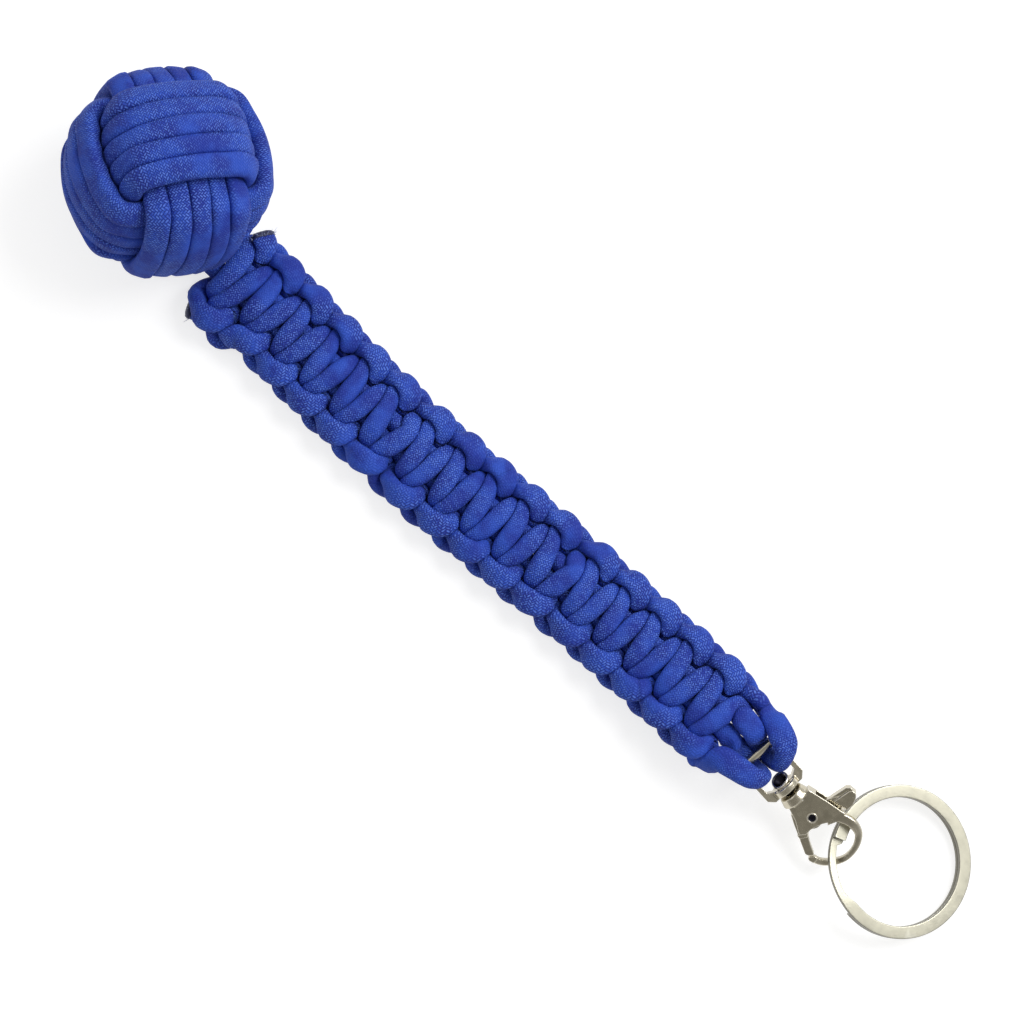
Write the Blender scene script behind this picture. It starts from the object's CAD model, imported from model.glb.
"""Looks of a monkey's fist key fob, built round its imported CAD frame.

The frame is in metres: X runs from the ball to the split ring, Z is up and the table is at zero.
"""

import logging
import math
from collections.abc import Callable, Sequence
from dataclasses import dataclass, field
from enum import Enum

import bmesh
import bpy
import numpy as np
from mathutils import Matrix, Vector, kdtree


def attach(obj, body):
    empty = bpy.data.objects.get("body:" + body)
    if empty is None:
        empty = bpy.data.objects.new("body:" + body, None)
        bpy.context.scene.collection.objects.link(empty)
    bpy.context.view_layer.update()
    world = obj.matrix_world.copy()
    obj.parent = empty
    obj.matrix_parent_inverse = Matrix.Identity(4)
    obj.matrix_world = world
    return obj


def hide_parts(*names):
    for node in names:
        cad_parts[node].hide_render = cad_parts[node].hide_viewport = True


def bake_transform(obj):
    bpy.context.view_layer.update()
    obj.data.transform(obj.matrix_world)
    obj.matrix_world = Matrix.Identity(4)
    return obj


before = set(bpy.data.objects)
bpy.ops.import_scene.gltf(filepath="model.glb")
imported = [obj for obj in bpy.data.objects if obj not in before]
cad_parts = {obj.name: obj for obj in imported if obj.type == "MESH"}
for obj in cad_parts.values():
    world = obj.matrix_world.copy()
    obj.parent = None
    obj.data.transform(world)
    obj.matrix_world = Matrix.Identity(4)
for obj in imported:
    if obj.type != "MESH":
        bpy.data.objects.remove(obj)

MM = 0.001
LOG = logging.getLogger("fob")

FULL_TURN = 2 * math.pi
# The way round a cord's sheath, in millimetres
SHEATH_AROUND = 12.0
# The room left between cord and metal
METAL_CLEAR = 0.05 * MM

Builder = bmesh.types.BMesh
Line = np.ndarray
Material = bpy.types.Material
Object = bpy.types.Object
Outline = tuple[tuple[float, float], ...]
Points = tuple[tuple[float, float, float], ...]
Random = np.random.Generator
Rows = Sequence[Sequence[float]]
Socket = bpy.types.NodeSocket
Tree = bpy.types.NodeTree


class Face(Enum):
    """Which side of the strap a working cord mostly shows on."""

    FRONT = 1
    BACK = -1


class Hand(Enum):
    """The two sides of the strap, seen from above with the ball behind."""

    RIGHT = 1
    LEFT = -1


def hex_colour(code: str) -> tuple[float, float, float, float]:
    """Turn an sRGB hex colour into linear values.

    Args:
        code: Six hex digits after a hash sign.

    Returns:
        Linear red, green and blue, and an alpha of one.
    """
    parts = [int(code[place : place + 2], 16) / 255 for place in (1, 3, 5)]
    values = [part / 12.92 if part <= 0.04045 else ((part + 0.055) / 1.055) ** 2.4 for part in parts]
    return (*values, 1.0)


def put(tree: Tree, kind: str, *inputs: object, out: int = 0, **settings: object) -> Socket:
    """Add a node with its settings and links.

    Args:
        tree: The node tree.
        kind: The node's type.
        inputs: A value or a socket for each input in order, and None to leave one alone.
        out: Which output to hand back.
        settings: Attributes of the node.

    Returns:
        The chosen output socket.
    """
    made = tree.nodes.new(kind)
    for name, value in settings.items():
        setattr(made, name, value)
    for socket, value in zip(made.inputs, inputs):
        if isinstance(value, bpy.types.NodeSocket):
            tree.links.new(value, socket)
        elif value is not None:
            socket.default_value = value
    return made.outputs[out]


def math_node(tree: Tree, operation: str, *inputs: object) -> Socket:
    """Return the output of a sum on numbers or sockets."""
    return put(tree, "ShaderNodeMath", *inputs, operation=operation)


def eased(tree: Tree, value: Socket, low: float, high: float) -> Socket:
    """Return a value eased from zero at low to one at high."""
    return put(tree, "ShaderNodeMapRange", value, low, high, 0.0, 1.0, interpolation_type="SMOOTHSTEP")


def mixed(tree: Tree, share: Socket, one: object, other: object) -> Socket:
    """Return a colour between two, by a share."""
    unused = (None,) * 5
    return put(tree, "ShaderNodeMix", share, *unused, one, other, out=2, data_type="RGBA")


def noise(tree: Tree, size: float, detail: float, roughness: float = 0.5) -> Socket:
    """Return a cloudy pattern that stays with its piece, with patches about a size in millimetres."""
    place = put(tree, "ShaderNodeTexCoord", out=3)
    return put(tree, "ShaderNodeTexNoise", place, None, 1 / (size * MM), detail, roughness)


# Finishes


@dataclass(frozen=True)
class Finish:
    """What every finish has: a name, a base colour and the plain values of its surface."""

    name: str
    colour: str
    roughness: float
    metallic: float = 0.0

    def begin(self) -> tuple[Material, Tree, bpy.types.Node]:
        """Start a material with its plain values.

        Returns:
            The material, its node tree and its Principled shader.
        """
        made = bpy.data.materials.new(self.name)
        made.use_nodes = True
        tree = made.node_tree
        shader = tree.nodes["Principled BSDF"]
        shader.inputs["Base Color"].default_value = hex_colour(self.colour)
        shader.inputs["Roughness"].default_value = self.roughness
        shader.inputs["Metallic"].default_value = self.metallic
        return made, tree, shader

    def relief(self, tree: Tree, shader: bpy.types.Node, height: Socket, depth: float) -> None:
        """Give the shader a bumped normal.

        Args:
            tree: The node tree.
            shader: The shader to bump.
            height: Height from zero to one.
            depth: The height of one, in metres.
        """
        bump = put(tree, "ShaderNodeBump").node
        bump.inputs["Strength"].default_value = 1.0
        bump.inputs["Distance"].default_value = depth
        tree.links.new(height, bump.inputs["Height"])
        tree.links.new(bump.outputs[0], shader.inputs["Normal"])


@dataclass(frozen=True)
class BraidedSheath(Finish):
    """Braided nylon sheath: yarns in two directions, each over two and under two.

    The eye gets short light floats in rows, with dark pits between them and a soft sheen. The real
    sheath has about 32 yarns round it. Fewer and coarser ones are drawn, so that they show.
    """

    pit: str = "#10206F"
    float_light: str = "#5A7DDB"
    shade: str = "#1B339C"
    carriers: int = 20
    cell_length: float = 0.5
    depth: float = 0.08 * MM
    patch_size: float = 5.0
    tight_size: float = 11.0
    speck_size: float = 0.7
    sheen: float = 0.14
    sheen_tint: str = "#7F9BF5"

    def make(self) -> Material:
        """Return the material."""
        made, tree, shader = self.begin()
        height = self.braid(tree)
        patch = eased(tree, noise(tree, self.patch_size, 2.0), 0.35, 0.65)
        tight = noise(tree, self.tight_size, 1.0)
        speck = eased(tree, noise(tree, self.speck_size, 1.0), 0.34, 0.62)
        base = mixed(tree, patch, hex_colour(self.shade), hex_colour(self.colour))
        yarn = mixed(tree, eased(tree, height, 0.0, 0.5), hex_colour(self.pit), base)
        crown = math_node(tree, "MULTIPLY", eased(tree, height, 0.5, 0.95), speck)
        lit = mixed(tree, crown, yarn, hex_colour(self.float_light))
        # Where the cord is pulled tight its braid closes up and nearly vanishes
        shown = put(tree, "ShaderNodeMapRange", tight, 0.38, 0.56, 0.15, 0.95)
        tree.links.new(mixed(tree, shown, base, lit), shader.inputs["Base Color"])
        shader.inputs["Sheen Weight"].default_value = self.sheen
        shader.inputs["Sheen Roughness"].default_value = 0.45
        shader.inputs["Sheen Tint"].default_value = hex_colour(self.sheen_tint)
        shader.inputs["Specular IOR Level"].default_value = 0.35
        self.relief(tree, shader, height, self.depth)
        return made

    def braid(self, tree: Tree) -> Socket:
        """Return the height of the braid from its pits at zero to its floats at one."""
        uv = put(tree, "ShaderNodeUVMap", uv_map="cord_mm")
        split = put(tree, "ShaderNodeSeparateXYZ", uv).node
        along = math_node(tree, "DIVIDE", split.outputs[0], self.cell_length)
        across = math_node(tree, "DIVIDE", split.outputs[1], SHEATH_AROUND / self.carriers)
        right = math_node(tree, "ADD", along, across)
        left = math_node(tree, "SUBTRACT", along, across)
        one, other = self.yarn(tree, right, left, 1.0), self.yarn(tree, left, right, 3.0)
        return math_node(tree, "MAXIMUM", one, other)

    def yarn(self, tree: Tree, own: Socket, other: Socket, middle: float) -> Socket:
        """Return the height of one direction's yarns where they float, and zero elsewhere.

        Args:
            tree: The node tree.
            own: The coordinate that counts these yarns.
            other: The coordinate that counts the yarns they cross.
            middle: Where in the repeat of four cells the float has its middle.
        """
        index = math_node(tree, "FLOOR", own)
        within = math_node(tree, "SUBTRACT", own, index)
        edge = math_node(tree, "MULTIPLY_ADD", within, 2.0, -1.0)
        crown = math_node(tree, "SUBTRACT", 1.0, math_node(tree, "MULTIPLY", edge, edge))
        count = math_node(tree, "DIVIDE", math_node(tree, "ADD", index, other), 4.0)
        phase = math_node(tree, "MULTIPLY", math_node(tree, "FRACT", count), 4.0)
        away = math_node(tree, "SUBTRACT", phase, middle)
        fall = math_node(tree, "POWER", math_node(tree, "ABSOLUTE", away), 4.0)
        length = math_node(tree, "MAXIMUM", math_node(tree, "SUBTRACT", 1.0, fall), 0.0)
        return math_node(tree, "MULTIPLY", crown, length)


@dataclass(frozen=True)
class MeltedNylon(Finish):
    """Nylon melted by a flame: a hard, dark and lumpy bead with a slight gloss."""

    tint: str = "#1A2560"
    lump_size: float = 0.6
    depth: float = 0.12 * MM

    def make(self) -> Material:
        """Return the material."""
        made, tree, shader = self.begin()
        lumps = noise(tree, self.lump_size, 3.0, 0.6)
        colour = mixed(tree, lumps, hex_colour(self.colour), hex_colour(self.tint))
        tree.links.new(colour, shader.inputs["Base Color"])
        self.relief(tree, shader, lumps, self.depth)
        return made


@dataclass(frozen=True)
class PlatedMetal(Finish):
    """Metal with a plated or ground surface.

    The eye gets bright worn edges, faint cloudy patches in the shine and dull hollows. The grain is
    drawn coarser than plating has it, so that it breaks up the shine at this size.
    """

    worn: str = "#F1EDE2"
    dull: str = "#6E695C"
    cloud: float = 1.6
    grain: float = 0.25
    roughness_spread: float = 0.12
    depth: float = 0.012 * MM

    def make(self) -> Material:
        """Return the material."""
        made, tree, shader = self.begin()
        cloud = noise(tree, self.cloud, 3.0, 0.55)
        grain = noise(tree, self.grain, 2.0)
        # Pointiness is a half on a flat face, less in a hollow and more on an edge
        edge = put(tree, "ShaderNodeNewGeometry", out=7)
        colour = put(tree, "ShaderNodeValToRGB", edge).node
        stops = colour.color_ramp.elements
        stops[0].position, stops[0].color = 0.40, hex_colour(self.dull)
        stops[1].position, stops[1].color = 0.62, hex_colour(self.worn)
        middle = stops.new(0.5)
        middle.color = hex_colour(self.colour)
        shade = put(tree, "ShaderNodeHueSaturation").node
        tree.links.new(colour.outputs[0], shade.inputs["Color"])
        value = put(tree, "ShaderNodeMapRange", cloud, 0.3, 0.7, 0.90, 1.06)
        tree.links.new(value, shade.inputs["Value"])
        tree.links.new(shade.outputs[0], shader.inputs["Base Color"])
        low = self.roughness - self.roughness_spread / 2
        rough = put(tree, "ShaderNodeMapRange", cloud, 0.3, 0.7, low, low + self.roughness_spread)
        tree.links.new(rough, shader.inputs["Roughness"])
        self.relief(tree, shader, grain, self.depth)
        return made


@dataclass(frozen=True)
class Paper(Finish):
    """Smooth white paper sweep, lit to white, that keeps the shadow of what lies on it."""

    glow: float = 0.2

    def make(self) -> Material:
        """Return the material, which the camera and reflections see a little lighter than it is lit."""
        made, tree, shader = self.begin()
        rays = put(tree, "ShaderNodeLightPath").node
        seen = rays.outputs["Is Camera Ray"]
        for other in ("Is Glossy Ray", "Is Transmission Ray"):
            seen = math_node(tree, "MAXIMUM", seen, rays.outputs[other])
        shader.inputs["Emission Color"].default_value = hex_colour("#FFFFFF")
        tree.links.new(math_node(tree, "MULTIPLY", seen, self.glow), shader.inputs["Emission Strength"])
        shader.inputs["Specular IOR Level"].default_value = 0.1
        return made


@dataclass
class Finishes:
    """Every finish on the fob."""

    cord: Material = field(init=False)
    melted: Material = field(init=False)
    fibre: Material = field(init=False)
    nickel: Material = field(init=False)
    ring: Material = field(init=False)
    wire_edge: Material = field(init=False)
    bore: Material = field(init=False)
    pin: Material = field(init=False)
    ball: Material = field(init=False)
    spring: Material = field(init=False)

    def __post_init__(self) -> None:
        """Make the materials."""
        # Nylon in a woven sheath is about 0.7 rough, and its floats catch the light
        self.cord = BraidedSheath("braided_nylon_sheath", "#2A50C0", 0.72).make()
        # Melted nylon is smoother and nearly black where it scorched
        self.melted = MeltedNylon("flame_melted_nylon", "#070A1E", 0.42).make()
        # Loose nylon filaments look pale, because light passes through them
        self.fibre = MeltedNylon("loose_nylon_filament", "#C6CEE8", 0.5, tint="#6F7FB4").make()
        # Nickel plating over a zinc casting is warm grey with soft corners
        self.nickel = PlatedMetal("nickel_plated_zinc_casting", "#C6BFAB", 0.24, 1.0, dull="#5A564B").make()
        # The ring's nickel is paler and flatter, with fine rolling marks
        flat = {"worn": "#CFCDBE", "dull": "#6F6B5E", "cloud": 2.2, "grain": 0.4}
        self.ring = PlatedMetal("nickel_plated_rolled_steel_wire", "#BDBAA9", 0.42, 1.0, **flat).make()
        # Its narrow edges are left as they were rolled, darker and sharper in their shine
        self.wire_edge = PlatedMetal("rolled_edge_of_ring_wire", "#77746A", 0.3, 1.0, worn="#A09D92").make()
        # The pivot's ends are spread by a punch, so they are rough and darker
        self.pin = PlatedMetal("peened_nickel_plated_pin", "#B0A998", 0.34, 1.0, cloud=0.5).make()
        # Plating doesn't reach into a bore or a punch mark, so they stay dark
        bare = {"worn": "#55535A", "dull": "#15151A"}
        self.bore = PlatedMetal("unplated_steel_bore", "#2B2A33", 0.4, 1.0, **bare).make()
        # A bearing ball is ground and polished
        self.ball = PlatedMetal("ground_steel_ball", "#B9BABC", 0.16, 1.0, cloud=4.0).make()
        # Spring wire is drawn and tempered, so it is darker
        self.spring = PlatedMetal("drawn_spring_steel_wire", "#8E8B86", 0.3, 1.0, cloud=0.8).make()


# Lines and cord


def rounded_line(points: Rows, step: float, between: int = 14) -> Line:
    """Return points a fixed step apart on a smooth line through the given ones.

    Args:
        points: Places that the line passes through.
        step: Distance between the returned points.
        between: How many points are worked out from each given place to the next.
    """
    given = np.asarray(points, float)
    ahead = 2 * given[-1] - given[-2]
    behind = 2 * given[0] - given[1]
    padded = np.vstack([behind, given, ahead])
    shares = np.linspace(0, 1, between, endpoint=False)[:, None]
    parts = []
    for a, b, c, d in zip(padded, padded[1:], padded[2:], padded[3:]):
        cubic = 2 * b + (c - a) * shares
        cubic = cubic + (2 * a - 5 * b + 4 * c - d) * shares**2 + (3 * b - a - 3 * c + d) * shares**3
        parts.append(cubic / 2)
    dense = np.vstack([*parts, given[-1:]])
    return spaced(dense, step)


def lengths(points: Line) -> np.ndarray:
    """Return how far along the line each of its points is."""
    return np.concatenate([[0.0], np.cumsum(np.linalg.norm(np.diff(points, axis=0), axis=1))])


def spaced(points: Line, step: float) -> Line:
    """Return the line's points set evenly about a step apart."""
    along = lengths(points)
    wanted = np.linspace(0, along[-1], max(2, round(along[-1] / step)) + 1)
    return np.column_stack([np.interp(wanted, along, column) for column in points.T])


def softened(values: np.ndarray, passes: int) -> np.ndarray:
    """Return rows averaged with their neighbours some times, with the two ends kept."""
    result = values.copy()
    for _ in range(passes):
        result[1:-1] = (result[:-2] + 2 * result[1:-1] + result[2:]) / 4
    return result


def unit(rows: np.ndarray) -> np.ndarray:
    """Return rows scaled to a length of one."""
    return rows / np.maximum(np.linalg.norm(rows, axis=-1, keepdims=True), 1e-12)


@dataclass
class Strand:
    """A run of cord: its middle line, the direction that it is squashed in, and its half sizes."""

    name: str
    line: Line
    flat: np.ndarray
    half_width: np.ndarray
    half_thickness: np.ndarray
    skin: np.ndarray | None = None
    corner: float = 2.6

    def frames(self) -> tuple[np.ndarray, np.ndarray, np.ndarray]:
        """Return the line's direction, its wide direction and its thin direction at each point."""
        ahead = unit(np.gradient(self.line, axis=0))
        thin = self.flat - ahead * np.sum(self.flat * ahead, axis=1, keepdims=True)
        thin = unit(softened(unit(thin), 6))
        thin = unit(thin - ahead * np.sum(thin * ahead, axis=1, keepdims=True))
        return ahead, np.cross(ahead, thin), thin


@dataclass
class Obstacle:
    """A hard round thing that cord presses against."""

    place: Sequence[float]
    radius: float


@dataclass
class CordSkinner:
    """Gives strands their skins, each squashed flat where it meets another strand or a hard thing."""

    sides: int = 20
    reach: float = 5.4 * MM
    own_length: float = 6.5 * MM
    clear: float = 0.02 * MM
    softness: float = 9.0
    table: float = 0.03 * MM
    bend_share: float = 0.92
    thinnest: float = 0.25 * MM
    thinnest_on_metal: float = 0.2 * MM
    far: float = 0.1
    # The lowest toward that counts: for other cord and metal, for the table, and for a bend (per metre)
    least: float = 1e-7
    least_down: float = 0.02
    least_bend: float = 1.0

    def dress(self, strands: list[Strand], obstacles: list[Obstacle]) -> None:
        """Work out the skin of every strand.

        Args:
            strands: All cord that lies close together.
            obstacles: Hard things among it.
        """
        places = np.vstack([strand.line for strand in strands])
        owner = np.concatenate([np.full(len(strand.line), index) for index, strand in enumerate(strands)])
        along = np.concatenate([lengths(strand.line) for strand in strands])
        tree = kdtree.KDTree(len(places))
        for index, place in enumerate(places):
            tree.insert(place, index)
        tree.balance()
        angles = np.linspace(0, FULL_TURN, self.sides, endpoint=False)
        cosine, sine = np.cos(angles), np.sin(angles)
        first = 0
        for index, strand in enumerate(strands):
            ahead, wide, thin = strand.frames()
            curve = np.gradient(ahead, axis=0) / np.gradient(lengths(strand.line))[:, None]
            free = (
                np.abs(cosine / strand.half_width[:, None]) ** strand.corner
                + np.abs(sine / strand.half_thickness[:, None]) ** strand.corner
            ) ** (-1 / strand.corner)
            radii = np.empty((len(strand.line), self.sides))
            spokes = np.empty((len(strand.line), self.sides, 3))
            for row, place in enumerate(strand.line):
                spoke = cosine[:, None] * wide[row] + sine[:, None] * thin[row]
                spokes[row] = spoke
                near = np.array([found[1] for found in tree.find_range(place, self.reach)])
                mine = (owner[near] == index) & (np.abs(along[near] - along[first + row]) < self.own_length)
                limit = self.half_way(places[near[~mine]] - place, spoke)
                limit = np.minimum(limit, self.hard(place, spoke, curve[row], obstacles))
                radii[row] = (free[row] ** -self.softness + limit**-self.softness) ** (-1 / self.softness)
            radii = softened(radii, 2)
            strand.skin = strand.line[:, None, :] + spokes * radii[:, :, None]
            first += len(strand.line)

    def half_way(self, away: np.ndarray, spoke: np.ndarray) -> np.ndarray:
        """Return how far each spoke reaches before it is nearer to another strand.

        Args:
            away: Offsets to points of other strands.
            spoke: Unit directions out of the strand.
        """
        if not len(away):
            return np.full(len(spoke), self.far)
        toward = away @ spoke.T
        squared = np.sum(away * away, axis=1)[:, None]
        reach = np.where(toward > self.least, squared / (2 * np.maximum(toward, self.least)), self.far)
        return np.maximum(reach.min(axis=0) - self.clear, self.thinnest)

    def hard(
        self, place: np.ndarray, spoke: np.ndarray, curve: np.ndarray, obstacles: list[Obstacle]
    ) -> np.ndarray:
        """Return how far each spoke reaches before a hard thing, the table or the inside of a bend.

        Args:
            place: The strand's point.
            spoke: Unit directions out of it.
            curve: The strand's curvature there, as a vector.
            obstacles: The hard things.
        """
        reach = np.full(len(spoke), self.far)
        reach = self.capped(reach, spoke @ curve, self.bend_share, self.least_bend)
        reach = self.capped(reach, -spoke[:, 2], place[2] - self.table, self.least_down)
        for obstacle in obstacles:
            away = np.asarray(obstacle.place) - place
            distance = float(np.linalg.norm(away))
            if distance - obstacle.radius > self.reach:
                continue
            gap = max(distance - obstacle.radius, self.thinnest_on_metal) * distance
            reach = self.capped(reach, spoke @ away, gap, self.least)
        return np.maximum(reach, self.thinnest_on_metal)

    def capped(self, reach: np.ndarray, toward: np.ndarray, room: float, least: float) -> np.ndarray:
        """Return reaches shortened where spokes point toward something, by the room before it.

        Args:
            reach: How far each spoke reaches so far.
            toward: How much each spoke points toward the thing.
            room: The room before it, along a spoke with a toward of one.
            least: The lowest toward that counts.
        """
        return np.where(toward > least, np.minimum(reach, room / np.maximum(toward, least)), reach)


def quads(rows: int, columns: int) -> np.ndarray:
    """Return the faces of a tube of rings, as rows of four vertex numbers."""
    row, column = np.meshgrid(np.arange(rows - 1), np.arange(columns), indexing="ij")
    after = (column + 1) % columns
    corners = [row * columns + column, row * columns + after]
    corners += [(row + 1) * columns + after, (row + 1) * columns + column]
    return np.stack(corners, axis=-1).reshape(-1, 4)


def add_object(name: str, data: bpy.types.Mesh, finish: Material) -> Object:
    """Put a mesh in the scene under a name, with one material and smooth shading."""
    made = bpy.data.objects.new(name, data)
    bpy.context.scene.collection.objects.link(made)
    data.materials.append(finish)
    data.shade_smooth()
    return made


def settle(piece: Object, slot: str, body: str, *nodes: str) -> Object:
    """Make a piece ride on a body in place of some CAD nodes, and name its material slot."""
    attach(piece, body)
    for node in nodes:
        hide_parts(node)
    return piece


def cord_piece(name: str, strand: Strand, first: int, last: int, finish: Material) -> Object:
    """Make the mesh of a stretch of a strand, closed at its ends.

    Args:
        name: The piece's name.
        strand: The strand, with its skin worked out.
        first: The first point of the stretch.
        last: The last point of the stretch.
        finish: The cord's material.

    Returns:
        The piece.
    """
    rings = strand.skin[first : last + 1]
    along = lengths(strand.line)[first : last + 1] / MM
    count, sides = rings.shape[:2]
    faces = quads(count, sides)
    data = bpy.data.meshes.new(name)
    ends = [tuple(range(sides - 1, -1, -1)), tuple(range((count - 1) * sides, count * sides))]
    data.from_pydata(rings.reshape(-1, 3).tolist(), [], faces.tolist() + ends)
    layer = data.uv_layers.new(name="cord_mm")
    row, column = np.divmod(np.arange(len(faces)), sides)
    u = np.stack([along[row], along[row], along[row + 1], along[row + 1]], axis=-1)
    v = np.stack([column, column + 1, column + 1, column], axis=-1) * (SHEATH_AROUND / sides)
    flat = np.stack([u, v], axis=-1).reshape(-1)
    flat = np.concatenate([flat, np.zeros(4 * sides)])
    layer.data.foreach_set("uv", flat.astype(np.float32))
    return add_object(name, data, finish)


def wander(count: int, step: float, size: float, wave: float, random: Random) -> np.ndarray:
    """Return a slow random offset for each point of a line.

    Args:
        count: How many points.
        step: The distance between them.
        size: About how far the offset goes.
        wave: The length over which it changes.
        random: The seeded source of numbers.
    """
    knots = max(4, int(count * step / wave) + 2)
    rough = random.normal(0.0, size, (knots, 3))
    place = np.linspace(0, knots - 1, count)
    smooth = np.column_stack([np.interp(place, np.arange(knots), column) for column in rough.T])
    return softened(smooth, max(2, int((0.4 * wave / step) ** 2)))


# The fist


@dataclass
class Fist:
    """The steel ball and the three sets of five turns of cord round it."""

    ball_x: float = -101.3 * MM
    ball_z: float = 21.2 * MM
    # The wraps: outside where they show, inside where the next set crosses them
    steel_radius: float = 12.7 * MM
    turns: int = 5
    pitch: float = 4.0 * MM
    inner_radius: float = 14.85 * MM
    outer_radius: float = 19.2 * MM
    rise_from: float = math.radians(30)
    rise_to: float = math.radians(70)
    # The outer wraps of a set stand out near its corners: how far, and at which angle in degrees
    corner_bulge: float = 1.2 * MM
    bulge_at: float = 38.0
    bulge_spread: float = 16.0
    # The corner where three faces meet, as the photograph shows it
    corner_azimuth: float = math.radians(-72.5)
    corner_elevation: float = math.radians(56.5)
    twist: float = math.radians(98)
    # The cord's section, with a higher corner for a squarer one
    half_width: float = 2.75 * MM
    half_thickness: float = 1.95 * MM
    corner: float = 3.6
    step: float = 0.55 * MM
    wander_size: float = 0.16 * MM
    wander_wave: float = 9 * MM
    shift_from: float = math.radians(240)
    shift_to: float = math.radians(300)
    points_per_turn: int = 26
    seed: int = 11

    @property
    def centre(self) -> np.ndarray:
        """The middle of the steel ball."""
        return np.array([self.ball_x, 0.0, self.ball_z])

    def axes(self) -> list[np.ndarray]:
        """Return the directions of the three faces that meet at the corner turned up to the viewer."""
        level = math.cos(self.corner_elevation)
        across = (level * math.cos(self.corner_azimuth), level * math.sin(self.corner_azimuth))
        corner = np.array([*across, math.sin(self.corner_elevation)])
        side = np.array([1.0, 0.0, 0.0])
        side = side - corner * (side @ corner)
        side /= np.linalg.norm(side)
        other = np.cross(corner, side)
        turns = [self.twist + index * math.radians(120) for index in range(3)]
        spreads = [side * math.cos(turn) + other * math.sin(turn) for turn in turns]
        return [corner * math.sqrt(1 / 3) + spread * math.sqrt(2 / 3) for spread in spreads]

    def radius_at(self, angle: float, offset: float) -> float:
        """Return how far a wrap lies from its set's axis, at an angle round it and an offset along it."""
        outer = math.sqrt(self.outer_radius**2 - offset**2)
        inner = math.sqrt(self.inner_radius**2 - offset**2)
        folded = math.atan2(abs(math.sin(angle)), abs(math.cos(angle)))
        share = min(max((folded - self.rise_from) / (self.rise_to - self.rise_from), 0.0), 1.0)
        share = share * share * (3 - 2 * share)
        edge = (offset / (self.pitch * (self.turns - 1) / 2)) ** 2
        hump = math.exp(-(((math.degrees(folded) - self.bulge_at) / self.bulge_spread) ** 2))
        return outer + (inner - outer) * share + self.corner_bulge * edge * hump

    def wraps(self, index: int, random: Random) -> Strand:
        """Return one set of turns.

        Args:
            index: Which of the three sets.
            random: The seeded source of small differences.
        """
        faces = self.axes()
        long_axis, short_axis, cross_axis = (faces[(index + place) % 3] for place in range(3))
        first = self.shift_to - FULL_TURN
        last = self.shift_from + FULL_TURN * (self.turns - 1)
        limit = self.pitch * (self.turns - 1) / 2
        points = []
        for angle in np.linspace(first, last, self.points_per_turn * self.turns):
            turn, within = divmod(angle, FULL_TURN)
            if within > self.shift_to:
                turn, within = turn + 1, 0.0
            # Each turn is level but for the stretch where it shifts over to the next
            step = min(max((within - self.shift_from) / (self.shift_to - self.shift_from), 0.0), 1.0)
            offset = (turn + step - (self.turns - 1) / 2) * self.pitch
            offset = min(max(offset, -limit), limit)
            radius = self.radius_at(angle, offset)
            along = long_axis * math.cos(angle) + short_axis * math.sin(angle)
            points.append(self.centre + along * radius + cross_axis * offset)
        line = rounded_line(points, self.step)
        line = line + wander(len(line), self.step, self.wander_size, self.wander_wave, random)
        name = ("fist_first_wraps", "fist_second_wraps", "fist_third_wraps")[index]
        wide = np.full(len(line), self.half_width)
        thin = np.full(len(line), self.half_thickness)
        return Strand(name, line, unit(line - self.centre), wide, thin, corner=self.corner)

    def strands(self) -> list[Strand]:
        """Return the three sets of turns."""
        random = np.random.default_rng(self.seed)
        return [self.wraps(index, random) for index in range(3)]

    def obstacles(self) -> list[Obstacle]:
        """Return the steel ball, which the inner turns press against."""
        return [Obstacle(self.centre, self.steel_radius + METAL_CLEAR)]

    def build(self, strands: list[Strand], finishes: Finishes) -> list[Object]:
        """Add the cord wraps and finish the steel ball inside them.

        Args:
            strands: The three sets of turns, with their skins.
            finishes: The materials.

        Returns:
            The pieces.
        """
        pieces = []
        for strand in strands:
            piece = cord_piece(f"{strand.name}_sheath", strand, 0, len(strand.line) - 1, finishes.cord)
            pieces.append(settle(piece, "cord", "ball", strand.name))
        repaint("steel_ball", finishes.ball)
        return pieces


def repaint(node: str, finish: Material) -> None:
    """Give a CAD node that stays in the picture a better material."""
    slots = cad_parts[node].data.materials
    slots.clear()
    slots.append(finish)


# The strap


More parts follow.
